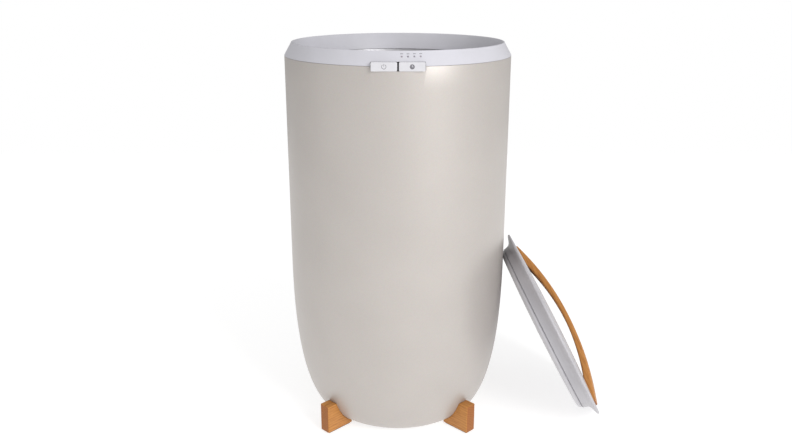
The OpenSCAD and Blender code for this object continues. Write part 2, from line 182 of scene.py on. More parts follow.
# Oiled oak, sawn straight and sanded: growth rings along the piece, arcs on the end grain,
# short dark pores and a dull oil sheen.
# The grain attribute holds each point's place in the plank, X along it.
def oiledOak():
    finish, tree, _ = startFinish("oiledOak", {"IOR": 1.48, "Specular IOR Level": 0.4})
    plank = add(tree, "Attribute", attribute_name="grain").outputs["Vector"]
    drift = add(tree, "Mapping", {"Vector": plank, "Scale": (0.12, 1, 1)})
    wander = add(tree, "TexNoise", {"Vector": drift, "Scale": perMetre(16), "Detail": 2.0})
    parts = add(tree, "SeparateXYZ", {"Vector": plank}).outputs
    across = add(tree, "Math", {0: parts["Y"], 1: 0.021}, operation="ADD")      # pith 21 mm to the side
    above = add(tree, "Math", {0: parts["Z"], 1: 0.034}, operation="ADD")       # and 34 mm below
    cut = add(tree, "CombineXYZ", {"Y": across, "Z": above})
    ring = add(tree, "VectorMath", {0: cut}, operation="LENGTH").outputs["Value"]
    wobble = add(tree, "Math", {0: wander, 1: 0.006, 2: ring}, operation="MULTIPLY_ADD")
    year = add(tree, "Math", {0: wobble, 1: perMetre(3.4)}, operation="MULTIPLY")
    saw = add(tree, "Math", {0: year}, operation="FRACT")
    wood = add(tree, "ValToRGB", {"Fac": saw},
               [(0.0, "#ad7138"), (0.16, "#c28746"), (0.7, "#be8243"), (1.0, "#b2773c")])
    fibre = add(tree, "Mapping", {"Vector": plank, "Scale": (0.05, 1, 1)})
    pores = add(tree, "TexNoise", {"Vector": fibre, "Scale": perMetre(0.9), "Detail": 3.0})
    poreMask = add(tree, "MapRange", {"Value": pores, "From Min": 0.52, "From Max": 0.7,
                                      "To Min": 0.0, "To Max": 0.55})
    dark = add(tree, "Mix", {"Factor": poreMask, colourA: wood, colourB: toLinear("#a8733f")},
               data_type="RGBA", blend_type="MULTIPLY")
    cutEnd = add(tree, "Attribute", attribute_name="endGrain").outputs["Fac"]
    soaked = add(tree, "Mix", {     # end grain drinks more oil
        "Factor": cutEnd, colourA: dark.outputs[mixedColour], colourB: toLinear("#d8c4b4")},
        data_type="RGBA", blend_type="MULTIPLY")
    rough = add(tree, "MapRange", {"Value": pores, "To Min": 0.42, "To Max": 0.66})
    return endFinish(finish, soaked.outputs[mixedColour], rough, pores, 0.25, 0.12, invert=True)


# Needled glass felt: off-white, quite matt, with a loose tangle of fibres.
def needledFelt():
    finish, tree, place = startFinish("needledFelt", {
        "Roughness": 0.95, "Sheen Weight": 0.4, "Sheen Roughness": 0.5})
    tangle = add(tree, "TexNoise", {
        "Vector": place, "Scale": perMetre(3), "Detail": 6.0, "Distortion": 1.5})
    tone = add(tree, "ValToRGB", {"Fac": tangle}, [(0.3, "#cfc9b8"), (0.7, "#ece8dc")])
    return endFinish(finish, tone, None, tangle, 0.6, 0.4)


# Heating wire laid in zigzags under a laminated foil: dull copper-red film,
# with the wire's ridges showing through.
def heaterFilm():
    finish, tree, place = startFinish("heaterFilm", {"IOR": 1.5, "Roughness": 0.4})
    ridge = add(tree, "TexWave", {
        "Vector": place, "Scale": perMetre(40), "Distortion": 3.0, "Detail": 1.0},
        bands_direction="Z").outputs["Fac"]
    tone = add(tree, "ValToRGB", {"Fac": ridge}, [(0.5, "#a34a35"), (0.95, "#c98a5a")])
    return endFinish(finish, tone, None, ridge, 0.5, 0.5)


# Solder mask over copper on glass laminate: glossy green, with paler traces under the lacquer.
def solderMask():
    finish, tree, place = startFinish("solderMask", {"IOR": 1.52, "Roughness": 0.3})
    tracks = add(tree, "TexBrick", {
        "Vector": place, "Scale": perMetre(100), "Color1": toLinear("#2f6b3c"),
        "Color2": toLinear("#2a6136"), "Mortar": toLinear("#5a9460"), "Mortar Size": 0.03,
        "Brick Width": 0.9, "Row Height": 0.4})
    return endFinish(finish, tracks, None, tracks.outputs["Fac"], 0.3, 0.04)


# Plated or plain metal of a small part: one bright tone that the plating clouds a little.
def smallMetal(name, light, dark, rough):
    finish, tree, place = startFinish(name, {"Metallic": 1.0})
    cloud = add(tree, "TexNoise", {"Vector": place, "Scale": perMetre(2.5), "Detail": 4.0})
    tone = add(tree, "ValToRGB", {"Fac": cloud}, [(0.3, dark), (0.7, light)])
    dull = add(tree, "MapRange", {"Value": cloud, "To Min": rough - 0.08, "To Max": rough + 0.08})
    return endFinish(finish, tone, dull)


# PVC insulation of several leads in one piece: slightly waxy,
# with each lead's tone by its place across the bundle.
def leadPvc(name, halfWidth, tones):
    finish, tree, place = startFinish(name, {"IOR": 1.53, "Roughness": 0.42})
    parts = add(tree, "SeparateXYZ", {"Vector": place}).outputs
    share = add(tree, "MapRange", {
        "Value": parts["X"], "From Min": -halfWidth * mm, "From Max": halfWidth * mm})
    pick = add(tree, "ValToRGB", {"Fac": share}, [(i / len(tones), tone) for i, tone in enumerate(tones)])
    pick.color_ramp.interpolation = "CONSTANT"
    draw = add(tree, "TexNoise", {"Vector": place, "Scale": perMetre(1.5)})
    return endFinish(finish, pick, None, draw, 0.1, 0.05)


# For each slot: name, light tone, dark tone, clouds in mm, grain in mm, least and most roughness,
# depth of the grain in mm, and the shader's constants where they aren't ABS's.
plastics = {
    # Satin ABS with a fine spark-eroded grain: cool pale grey that takes a wide, even light.
    "ring_plastic": ("satinAbsPale", "#c9c8cf", "#c5c4ca", 45, 1.6, 0.4, 0.5, 0.04),
    # Semi-gloss ABS off a polished tool: brighter and smoother than the ring round it.
    "key_plastic": ("semiGlossAbs", "#cfced2", "#cac9cd", 20, 2.5, 0.28, 0.36, 0.02),
    # Black ABS, matt: swallows the light in the gaps.
    "key_dark": ("mattBlackAbs", "#3a3a3d", "#303033", 8, 0.8, 0.55, 0.7, 0.03),
    # Moulded silicone: dull pale grey, a little dusty.
    "silicone": ("greySilicone", "#a5a3a8", "#98969b", 12, 1.0, 0.6, 0.75, 0.03, {"IOR": 1.41}),
    # Moulded rubber: near black and matt, greyed where it is scuffed.
    "pad_rubber": ("mattRubber", "#4a4a4c", "#353537", 6, 0.8, 0.7, 0.9, 0.06, {"IOR": 1.52}),
    # Polypropylene off a textured tool: grey, waxy and dull.
    "cover_plastic": ("greyPolypropylene", "#7c7c7f", "#717174", 25, 1.2, 0.5, 0.66, 0.06),
    # Moulded PBT case: clean blue, fairly glossy.
    "relay_plastic": ("bluePbt", "#3058ad", "#29509f", 8, 1.5, 0.3, 0.4, 0.02),
    # Polyester tape round a winding: yellow film with soft wrinkles.
    "transformer": ("yellowTape", "#e4b742", "#d2a431", 5, 3.0, 0.32, 0.5, 0.2),
    # Shrunk PVC sleeve on an aluminium can: blue-black and glossy.
    "capacitor": ("shrinkSleeve", "#2a2e34", "#1f2226", 6, 2.0, 0.25, 0.4, 0.05),
    # Moulded nylon: green, with the faint flow lines of the moulding.
    "terminal": ("greenNylon", "#459a56", "#3a8749", 7, 1.4, 0.4, 0.52, 0.03),
    # Milky acrylic light pipe, unlit: greyish, glossy, letting a little light into its skin.
    "light_pipe": ("milkyAcrylic", "#9c979f", "#8e8992", 2, 1.0, 0.15, 0.25, 0.01,
                   {"IOR": 1.49, "Subsurface Weight": 0.2, "Subsurface Scale": 0.001}),
    # Moulded nylon: mid grey, faintly waxy.
    "gland_plastic": ("greyNylon", "#918f92", "#858386", 9, 1.1, 0.4, 0.52, 0.03),
    # Satin ABS in a cool mid grey, with a slight gloss on its edges.
    "lid_plastic": ("satinAbsGrey", "#bab8bc", "#b3b1b5", 40, 1.6, 0.36, 0.46, 0.04),
    # The inner pan, moulded in the same satin ABS but a shade paler.
    "pan_plastic": ("satinAbsPan", "#c4c2c6", "#bdbbbf", 40, 1.8, 0.34, 0.44, 0.04),
    # Pad-printed ink, cured matt: a thin dark grey film.
    "print_ink": ("padPrintInk", "#77757b", "#6b696f", 3, 0.8, 0.5, 0.6, 0.01),
}
finishes = {slot: mouldedPlastic(*row) for slot, row in plastics.items()}
finishes.update({
    "shell_paint": satinPearlPaint(),
    "bucket_metal": anodisedAluminium(),
    "heater_foil": heaterFilm(),
    "felt": needledFelt(),
    "thermostat_metal": smallMetal("nickelPlatedSteel", "#dcdad6", "#c4c2be", 0.3),
    "fuse_brass": smallMetal("plainBrass", "#c9a56a", "#a88550", 0.32),
    "board": solderMask(),
    "screw_steel": smallMetal("zincPlatedSteel", "#cfd0d4", "#aeb0b6", 0.3),
    "wire_pvc": leadPvc("whiteLeadPvc", 20, ["#dcdad3", "#e9e7e0"]),
    "mains_pvc": leadPvc("mainsLeadPvc", 6.5, ["#7a4a2a", "#3d7a3d", "#2f56a0"]),
    "oak": oiledOak(),
})
print("finishes mixed:", len(finishes))


# meshes

def newPiece(name, points, faces):
    mesh = bpy.data.meshes.new(name)
    mesh.from_pydata([tuple(p) for p in points], [], faces)
    piece = bpy.data.objects.new(name, mesh)
    bpy.context.collection.objects.link(piece)
    return piece


def tidyMesh(piece, crispAngle=35):
    shape = bmesh.new()
    shape.from_mesh(piece.data)
    bmesh.ops.remove_doubles(shape, verts=shape.verts, dist=1e-6)
    bmesh.ops.recalc_face_normals(shape, faces=shape.faces)
    shape.to_mesh(piece.data)
    shape.free()
    piece.data.polygons.foreach_set("use_smooth", [True] * len(piece.data.polygons))
    piece.data.set_sharp_from_angle(angle=math.radians(crispAngle))
    return piece


def settle(piece):
    graph = bpy.context.evaluated_depsgraph_get()
    made = bpy.data.meshes.new_from_object(piece.evaluated_get(graph))
    piece.modifiers.clear()
    piece.data = made
    made.name = piece.name
    return piece


def roundEdges(piece, width, angle=40, steps=2):
    bevel = piece.modifiers.new("roundedEdges", "BEVEL")
    bevel.width = width * mm
    bevel.segments = steps
    bevel.limit_method = "ANGLE"
    bevel.angle_limit = math.radians(angle)
    return settle(piece)


def cutWith(piece, cutter):
    tool = piece.modifiers.new("cut", "BOOLEAN")
    tool.operation = "DIFFERENCE"
    tool.solver = "EXACT"
    tool.object = cutter
    settle(piece)
    bpy.data.objects.remove(cutter)
    return piece


def dress(piece, body, slotName, *nodes, finish=None):
    piece.data.materials.clear()
    piece.data.materials.append(finish or finishes[slotName])
    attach(piece, body)
    if nodes:
        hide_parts(*nodes)
    return piece


# A skin over rings of points in mm, one after another, closed at both ends.
def skinned(name, rings):
    count = len(rings[0])
    last = (len(rings) - 1) * count
    faces = []
    for a in range(0, last, count):
        b = a + count
        faces += [[a + k, a + (k + 1) % count, b + (k + 1) % count, b + k] for k in range(count)]
    faces += [list(range(count)), [last + k for k in reversed(range(count))]]
    return newPiece(name, [p * mm for ring in rings for p in ring], faces)


# Outline corners are (x, z, fillet) in mm; the fillets become arcs.
def filleted(corners, steps=5):
    outline = []
    for i, (x, z, fillet) in enumerate(corners):
        here = Vector((x, z))
        if not fillet:
            outline.append(here)
            continue
        before = Vector(corners[i - 1][:2])
        after = Vector(corners[(i + 1) % len(corners)][:2])
        toBefore = (before - here).normalized()
        toAfter = (after - here).normalized()
        half = toBefore.angle(toAfter) / 2
        reach = min(fillet / math.tan(half), 0.48 * (before - here).length, 0.48 * (after - here).length)
        centre = here + (toBefore + toAfter).normalized() * reach / math.cos(half)
        start = here + toBefore * reach - centre
        stop = here + toAfter * reach - centre
        first = math.atan2(start.y, start.x)
        sweep = (math.atan2(stop.y, stop.x) - first + math.pi) % (2 * math.pi) - math.pi
        for k in range(steps + 1):
            angle = first + sweep * k / steps
            outline.append(centre + start.length * Vector((math.cos(angle), math.sin(angle))))
    return outline


def lathe(name, outline, steps=192, place=Matrix.Identity(4)):
    points, faces, rows = [], [], []
    for r, z in outline:
        if r < 0.001:
            rows.append([len(points)])
            points.append(place @ Vector((0, 0, z * mm)))
            continue
        rows.append(list(range(len(points), len(points) + steps)))
        for k in range(steps):
            turn = 2 * math.pi * k / steps
            points.append(place @ (Vector((r * math.cos(turn), r * math.sin(turn), z)) * mm))
    for a, b in zip(rows, rows[1:] + rows[:1]):
        for k in range(steps):
            corner = (a[k % len(a)], a[(k + 1) % len(a)], b[(k + 1) % len(b)], b[k % len(b)])
            face = list(dict.fromkeys(corner))
            if len(face) > 2:
                faces.append(face)
    return tidyMesh(newPiece(name, points, faces))


# geometry node trees

def startTree(name, sizes):
    tree = bpy.data.node_groups.new(name, "GeometryNodeTree")
    for way in ("INPUT", "OUTPUT"):
        tree.interface.new_socket(name="Geometry", in_out=way, socket_type="NodeSocketGeometry")
    for label, kind in sizes.items():
        tree.interface.new_socket(name=label, in_out="INPUT", socket_type="NodeSocket" + kind)
    return tree, add(tree, "GroupInput").outputs


def endTree(tree, geometry, finish):
    real = add(tree, "RealizeInstances", {"Geometry": geometry})
    smooth = add(tree, "SetShadeSmooth", {"Geometry": real})
    dressed = add(tree, "SetMaterial", {"Geometry": smooth, "Material": finish})
    add(tree, "GroupOutput", {"Geometry": dressed})
    return tree


def runTree(piece, tree, values):
    made = piece.modifiers.new(tree.name, "NODES")
    made.node_group = tree
    keys = {socket.name: socket.identifier for socket in tree.interface.items_tree}
    for label, value in values.items():
        made[keys[label]] = value
    return settle(piece)


# The body's wall as a sheet: a straight wall over a superellipse that runs out into the flat bottom.
def bodyWallTree():
    tree, given = startTree("bodyWall", {
        "Radius": "Float", "Base radius": "Float", "Hatch radius": "Float", "Top height": "Float",
        "Knee height": "Float", "Base height": "Float", "Fullness": "Float", "Segments": "Int",
        "Rings": "Int", "Material": "Material"})
    wallShare, curveShare = 0.14, 0.97      # where the straight and the curve end, down the sheet
    across = add(tree, "Math", {0: given["Segments"], 1: 1}, operation="ADD")
    grid = add(tree, "MeshGrid", {"Vertices X": across, "Vertices Y": given["Rings"]})
    spot = add(tree, "SeparateXYZ", {0: add(tree, "InputPosition")}).outputs
    turn = add(tree, "Math", {0: spot["X"], 1: 2 * math.pi, 2: 1.5 * math.pi}, operation="MULTIPLY_ADD")
    down = add(tree, "Math", {0: 0.5, 1: spot["Y"]}, operation="SUBTRACT")
    straight, swell, drop, flat = [
        add(tree, "Math", {0: given[a], 1: given[b]}, operation="SUBTRACT") for a, b in (
            ("Top height", "Knee height"), ("Radius", "Base radius"), ("Base height", "Knee height"),
            ("Hatch radius", "Base radius"))]
    rise = add(tree, "MapRange", {"Value": down, "From Max": wallShare, "To Min": straight, "To Max": 0.0})
    bend = add(tree, "MapRange", {"Value": down, "From Min": wallShare, "From Max": curveShare,
                                  "To Max": math.pi / 2})
    inward = add(tree, "MapRange", {"Value": down, "From Min": curveShare})
    power = add(tree, "Math", {0: 2.0, 1: given["Fullness"]}, operation="DIVIDE")
    cosine, sine, cosTurn, sinTurn = [add(tree, "Math", {0: angle}, operation=wave)
                                      for angle in (bend, turn) for wave in ("COSINE", "SINE")]
    cosUp = add(tree, "Math", {0: cosine, 1: 0.0}, operation="MAXIMUM")
    outPart, downPart = [add(tree, "Math", {0: part, 1: power}, operation="POWER") for part in (cosUp, sine)]
    curved = add(tree, "Math", {0: swell, 1: outPart, 2: given["Base radius"]}, operation="MULTIPLY_ADD")
    radius = add(tree, "Math", {0: flat, 1: inward, 2: curved}, operation="MULTIPLY_ADD")
    lower = add(tree, "Math", {0: drop, 1: downPart, 2: given["Knee height"]}, operation="MULTIPLY_ADD")
    height = add(tree, "Math", {0: lower, 1: rise}, operation="ADD")
    x, y = [add(tree, "Math", {0: radius, 1: way}, operation="MULTIPLY") for way in (cosTurn, sinTurn)]
    place = add(tree, "CombineXYZ", {"X": x, "Y": y, "Z": height})
    bent = add(tree, "SetPosition", {"Geometry": grid, "Position": place})
    welded = add(tree, "MergeByDistance", {"Geometry": bent, "Distance": 1e-6})
    return endTree(tree, welded, given["Material"])


# Copies of the piece's own mesh round a circle, each facing outward.
def ringOfCopiesTree():
    tree, given = startTree("ringOfCopies", {
        "Count": "Int", "Ring radius": "Float", "First angle": "Float", "Material": "Material"})
    circle = add(tree, "MeshCircle", {"Vertices": given["Count"], "Radius": given["Ring radius"]})
    turn = add(tree, "CombineXYZ", {"Z": given["First angle"]})
    turned = add(tree, "Transform", {"Geometry": circle, "Rotation": turn})
    outward = add(tree, "AlignRotationToVector", {"Vector": add(tree, "InputPosition")},
                  axis="X", pivot_axis="Z")
    copies = add(tree, "InstanceOnPoints", {
        "Points": turned, "Instance": given["Geometry"], "Rotation": outward})
    return endTree(tree, copies, given["Material"])


# Copies in a row across the front of a cone, standing square to its slope.
def rowOnSlopeTree():
    tree, given = startTree("rowOnSlope", {
        "Count": "Int", "First place": "Float", "Pitch": "Float", "Cone radius": "Float",
        "Height": "Float", "Slope": "Float", "Material": "Material"})
    begin = add(tree, "CombineXYZ", {"X": given["First place"], "Z": given["Height"]})
    step = add(tree, "CombineXYZ", {"X": given["Pitch"]})
    row = add(tree, "MeshLine", {"Count": given["Count"], "Start Location": begin, "Offset": step},
              mode="OFFSET")
    spot = add(tree, "SeparateXYZ", {0: add(tree, "InputPosition")}).outputs
    share = add(tree, "Math", {0: spot["X"], 1: given["Cone radius"]}, operation="DIVIDE")
    turn = add(tree, "Math", {0: share}, operation="ARCSINE")
    near = add(tree, "Math", {0: turn}, operation="COSINE")
    forward = add(tree, "Math", {0: near, 1: given["Cone radius"]}, operation="MULTIPLY")
    front = add(tree, "Math", {0: forward, 1: -1.0}, operation="MULTIPLY")
    place = add(tree, "CombineXYZ", {"X": spot["X"], "Y": front, "Z": spot["Z"]})
    laid = add(tree, "SetPosition", {"Geometry": row, "Position": place})
    lean = add(tree, "CombineXYZ", {"X": given["Slope"], "Z": turn})
    copies = add(tree, "InstanceOnPoints", {
        "Points": laid, "Instance": given["Geometry"], "Rotation": lean})
    return endTree(tree, copies, given["Material"])


# A straight row of the piece's own mesh, along X and centred.
def straightRowTree():
    tree, given = startTree("straightRow", {"Count": "Int", "Pitch": "Float", "Material": "Material"})
    fewer = add(tree, "Math", {0: given["Count"], 1: -1}, operation="ADD")
    length = add(tree, "Math", {0: fewer, 1: given["Pitch"]}, operation="MULTIPLY")
    back = add(tree, "Math", {0: length, 1: -0.5}, operation="MULTIPLY")
    begin = add(tree, "CombineXYZ", {"X": back})
    step = add(tree, "CombineXYZ", {"X": given["Pitch"]})
    row = add(tree, "MeshLine", {"Count": given["Count"], "Start Location": begin, "Offset": step},
              mode="OFFSET")
    copies = add(tree, "InstanceOnPoints", {"Points": row, "Instance": given["Geometry"]})
    return endTree(tree, copies, given["Material"])


bodyWall = bodyWallTree()
ringOfCopies = ringOfCopiesTree()
rowOnSlope = rowOnSlopeTree()
straightRow = straightRowTree()
print("node trees built")


# Four copies round the body's axis, one on each diagonal.
def fourRound(piece, ringRadius, slotName):
    return runTree(piece, ringOfCopies, {
        "Count": 4, "Ring radius": ringRadius * mm, "First angle": math.radians(45),
        "Material": finishes[slotName]})


# outer shell

shellLow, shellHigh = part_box("outer_shell")
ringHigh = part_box("rim_ring")[1]
shell = {
    "radius": shellHigh.x / mm,
    "top": shellHigh.z / mm,
    "base": shellLow.z / mm,
    "baseRadius": 88,
    "hatchRadius": 84.3,
    "knee": 237,
    "fullness": 2.45,       # 2 would be an ellipse
    "wall": 2.5,
    "edge": 0.35,
    "segments": 192,
    "rings": 72,
}


def wallHeight(radius):
    share = (radius - shell["baseRadius"]) / (shell["radius"] - shell["baseRadius"])
    fall = (1 - min(share, 1) ** shell["fullness"]) ** (1 / shell["fullness"])
    return shell["knee"] - (shell["knee"] - shell["base"]) * fall


# A plate across the front: flat face at -Y, round back, rounded corners.
def frontPlate(name, s):
    half = s["width"] / 2
    corner = s["corner"]
    arc = [corner * (1 - math.cos(math.radians(a))) for a in (0, 22.5, 45, 67.5, 90)]
    middle = [corner + (s["width"] - 2 * corner) * k / 12 for k in range(1, 12)]
    stations = arc + middle + [s["width"] - d for d in reversed(arc)]
    rings = []
    for along in stations:
        x = s["middle"] - half + along
        toEnd = min(along, s["width"] - along, corner)
        tall = s["height"] / 2 - corner + math.sqrt(max(corner ** 2 - (corner - toEnd) ** 2, 0))
        back = -math.sqrt(s["backRadius"] ** 2 - x * x)
        loop = ((s["front"], tall), (back, tall), (back, -tall), (s["front"], -tall))
        rings.append([Vector((x, y, s["level"] + z)) for y, z in loop])
    return tidyMesh(skinned(name, rings))


keyLow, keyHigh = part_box("power_button")
key = {
    "width": (keyHigh.x - keyLow.x) / mm,
    "height": (keyHigh.z - keyLow.z) / mm,
    "level": (keyHigh.z + keyLow.z) / 2 / mm,
    "middle": (keyHigh.x + keyLow.x) / 2 / mm,
    "front": keyLow.y / mm,
    "backRadius": 146.9,
    "corner": 1.6,
    "edge": 0.45,
}
pocket = {
    "middle": 0,
    "width": 65.2,
    "height": key["height"] + 0.24,
    "level": key["level"],
    "front": -156,
    "backRadius": 141.7,
    "corner": 2.0,
}
gland = {
    "seat": 131,            # where the flange sits, along Y
    "level": 56,
    "cordRadius": 3.6,
    "flange": 9.5,
    "recess": 9.7,
    "thread": 6,
    "throat": -14,
}
glandPlace = (Matrix.Translation((0, gland["seat"] * mm, gland["level"] * mm))
              @ Matrix.Rotation(-math.pi / 2, 4, "X"))


def outerShell(s):
    piece = newPiece("outer_shell_body", [], [])
    runTree(piece, bodyWall, {
        "Radius": s["radius"] * mm, "Base radius": s["baseRadius"] * mm,
        "Hatch radius": s["hatchRadius"] * mm, "Top height": s["top"] * mm,
        "Knee height": s["knee"] * mm, "Base height": s["base"] * mm, "Fullness": s["fullness"],
        "Segments": s["segments"], "Rings": s["rings"], "Material": finishes["shell_paint"]})
    wall = piece.modifiers.new("wall", "SOLIDIFY")
    wall.thickness = s["wall"] * mm
    wall.offset = -1
    settle(piece)
    roundEdges(piece, s["edge"])
    cutWith(piece, frontPlate("shellPocket", pocket))
    recess = gland["recess"]
    cutWith(piece, lathe("glandRecess", [(0, -6), (recess, -6), (recess, 30), (0, 30)], 64, glandPlace))
    tidyMesh(piece)
    return dress(piece, "bucket", "shell_paint", "outer_shell")


outerShell(shell)
print("outer shell made")


# rim ring with its indicator lights

rim = {
    "radius": ringHigh.x / mm,
    "seam": shell["top"] + 0.3,
    "top": ringHigh.z / mm,
    "mouth": 140.5,
    "lip": 131.8,
    "lipDepth": 22,
    "flange": 141.4,        # the bucket's rolled rim sits under here
    "webLevel": 511.1,
    "spigot": 147.2,
    "spigotTop": 510,
}
slope = math.atan2(rim["top"] - rim["seam"] - 0.3, rim["radius"] - rim["mouth"])
lights = {
    "count": 4,
    "first": 4.2,
    "pitch": 7.4,
    "coneRadius": 144.1,
    "lens": 1.05,
    "hole": 1.15,
}
labels = {
    "coneRadius": 142.4,
    "size": (3.4, 0.8),
    "thick": 0.08,
}


def coneHeight(radius):
    return rim["seam"] + 0.3 + (rim["radius"] - radius) * math.tan(slope)


def onSlope(piece, radius, finishName):
    return runTree(piece, rowOnSlope, {
        "Count": lights["count"], "First place": lights["first"] * mm, "Pitch": lights["pitch"] * mm,
        "Cone radius": radius * mm, "Height": coneHeight(radius) * mm, "Slope": slope,
        "Material": finishes[finishName]})


def innerWall(s):
    high = Vector((s["mouth"] - 1.7, s["top"] - 0.9))
    pull = Vector((s["lip"] + 1.6, s["top"] - 13))
    low = Vector((s["lip"], s["top"] - s["lipDepth"]))
    shares = [k / 12 for k in range(13)]
    return [(1 - t) ** 2 * high + 2 * t * (1 - t) * pull + t * t * low for t in shares]


def rimRing(s):
    outside = [(s["radius"], s["seam"], 0.2), (s["radius"], s["seam"] + 0.3, 1.2),
               (s["mouth"] + 0.9, s["top"] - 1.6, 1.0), (s["mouth"] + 0.2, s["top"], 1.1),
               (s["mouth"] - 1.2, s["top"], 0.9)]
    low, web = s["top"] - s["lipDepth"], s["webLevel"]
    under = [(s["lip"] + 2.1, low), (s["lip"] + 2.6, web), (s["flange"], web), (s["flange"], web + 1.8),
             (136.8, web + 1.8), (137.4, 516), (140.2, 522.4), (s["spigot"], s["spigotTop"]),
             (s["spigot"], s["seam"])]
    inner = innerWall(s)
    rounded = filleted([(s["spigot"], s["seam"], 0)] + outside + [(*inner[0], 0)])[1:-1]
    piece = lathe("rim_ring_top", rounded + inner + [Vector(p) for p in under])
    cutWith(piece, frontPlate("ringPocket", pocket))
    hole = lathe("lightHoles", [(0, -5), (lights["hole"], -5), (lights["hole"], 3), (0, 3)], 24)
    onSlope(hole, lights["coneRadius"], "ring_plastic")
    cutWith(piece, hole)
    tidyMesh(piece)
    return dress(piece, "bucket", "ring_plastic", "rim_ring")


def lightLenses(s):
    dome = [(0, 0.2), (s["lens"] * 0.5, 0.14), (s["lens"] * 0.85, -0.05), (s["lens"], -0.4),
            (s["lens"], -3.4), (0, -3.4)]
    piece = tidyMesh(onSlope(lathe("indicator_lights", dome, 24), s["coneRadius"], "light_pipe"))
    return dress(piece, "bucket", "light_pipe", "led_lenses")


def flatBox(name, low, high):
    x0, y0, z0 = low
    x1, y1, z1 = high
    points = [Vector(p) * mm for p in ((x0, y0, z0), (x1, y0, z0), (x1, y1, z0), (x0, y1, z0),
                                       (x0, y0, z1), (x1, y0, z1), (x1, y1, z1), (x0, y1, z1))]
    faces = [(0, 3, 2, 1), (4, 5, 6, 7), (0, 1, 5, 4), (1, 2, 6, 5), (2, 3, 7, 6), (3, 0, 4, 7)]
    return newPiece(name, points, faces)


def labelBars(s):
    wide, tall = s["size"]
    piece = flatBox("label_bars", (-wide / 2, -tall / 2, -0.4), (wide / 2, tall / 2, s["thick"]))
    onSlope(roundEdges(piece, 0.2), s["coneRadius"], "print_ink")
    return dress(tidyMesh(piece), "bucket", "ring_plastic", finish=finishes["print_ink"])


rimRing(rim)
lightLenses(lights)
labelBars(labels)
print("rim ring, lights and label bars made")


# inner bucket

bucketLow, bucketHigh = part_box("inner_bucket")
bucket = {
    "radius": 135.2,
    "sheet": 1.4,
    "corner": 24,
    "flange": bucketHigh.x / mm,
    "bottom": bucketLow.z / mm,
    "rim": bucketHigh.z / mm,
    "stepRadius": 86,       # pressed step in the bottom
    "stepRise": 1.2,
}


def innerBucket(s):
    def corner(fold):
        return [(s["radius"] - s["corner"] + fold * math.sin(math.radians(a)),
                 floorLevel + s["corner"] - fold * math.cos(math.radians(a))) for a in range(0, 91, 9)]
    floorLevel = s["bottom"] + s["sheet"]
    step = [(0, s["stepRise"]), (s["stepRadius"] - 5, s["stepRise"]),
            (s["stepRadius"] - 2.5, s["stepRise"] / 2), (s["stepRadius"], 0)]
    inside = [(r, floorLevel + rise) for r, rise in step] + corner(s["corner"])
    outside = corner(s["corner"] + s["sheet"])[::-1]
    outer, under = s["radius"] + s["sheet"], s["rim"] - s["sheet"]
    rolled = filleted([(s["radius"], floorLevel + 60, 0), (s["radius"], s["rim"], 0.8),
                       (s["flange"], s["rim"], 0.5), (s["flange"], under, 0.5),
                       (outer, under, 0.6), (outer, floorLevel + 60, 0)])[1:-1]
    below = [(r, s["bottom"] + rise) for r, rise in reversed(step)]
    piece = lathe("inner_bucket_pan", inside + rolled + outside + below)
    return dress(piece, "bucket", "bucket_metal", "inner_bucket")


innerBucket(bucket)
print("inner bucket made")


# keys

marks = {
    "powerRing": (2.3, 2.85),       # inner and outer radius
    "powerGap": 34,                 # half of the opening, degrees
    "powerBar": (0.5, 3.3),
    "timerDisc": 2.9,
    "hands": (2.0, 1.5),
    "handWidth": 0.55,
    "proud": 0.06,
    "sunk": 0.3,
}


def pressKey(name, s, middle, body, node):
    piece = roundEdges(frontPlate(name, {**s, "middle": middle}), s["edge"], 50)
    return dress(tidyMesh(piece), body, "key_plastic", node)


# A flat mark on a key: polygons in X and Z, given as lists of (x, z), made thin solids on the key's face.
def keyMark(name, shapes, middle, body, finishName, proud):
    points, faces = [], []
    for outline in shapes:
        start = len(points)
        count = len(outline)
        for y in (key["front"] - proud, key["front"] + marks["sunk"]):
            points += [Vector((middle + x, y, key["level"] + z)) * mm for x, z in outline]
        faces.append([start + k for k in range(count)])
        faces.append([start + count + k for k in reversed(range(count))])
        for k in range(count):
            after = (k + 1) % count
            faces.append([start + after, start + k, start + count + k, start + count + after])
    piece = tidyMesh(newPiece(name, points, faces), 30)
    return dress(piece, body, "key_plastic", finish=finishes[finishName])


def arcBand(inner, outer, first, last, steps=40):
    angles = [math.radians(first + (last - first) * k / steps) for k in range(steps + 1)]
    return ([(outer * math.sin(a), outer * math.cos(a)) for a in angles]
            + [(inner * math.sin(a), inner * math.cos(a)) for a in reversed(angles)])


def bar(x0, z0, x1, z1):
    return [(x0, z0), (x1, z0), (x1, z1), (x0, z1)]


def keysAndMarks(s):
    left = s["middle"]
    right = -left
    pressKey("power_key_plate", s, left, "power_key", "power_button")
    pressKey("timer_key_plate", s, right, "timer_key", "timer_button")
    gap, proud = marks["powerGap"], marks["proud"]
    inner, outer = marks["powerRing"]
    wide, top = marks["powerBar"]
    power = [arcBand(inner, outer, gap, 360 - gap), bar(-wide / 2, 0.4, wide / 2, top)]
    keyMark("power_mark", power, left, "power_key", "print_ink", proud)
    turns = [2 * math.pi * k / 48 for k in range(48)]
    disc = [(marks["timerDisc"] * math.sin(a), marks["timerDisc"] * math.cos(a)) for a in turns]
    keyMark("timer_mark", [disc], right, "timer_key", "print_ink", proud)
    half = marks["handWidth"] / 2
    up, across = marks["hands"]
    hands = [bar(-half, -half, half, up), bar(half, -half, across, half)]
    keyMark("timer_hands", hands, right, "timer_key", "key_plastic", proud + 0.05)


keysAndMarks(key)
print("keys and their marks made")


# wooden feet, pads and the bottom

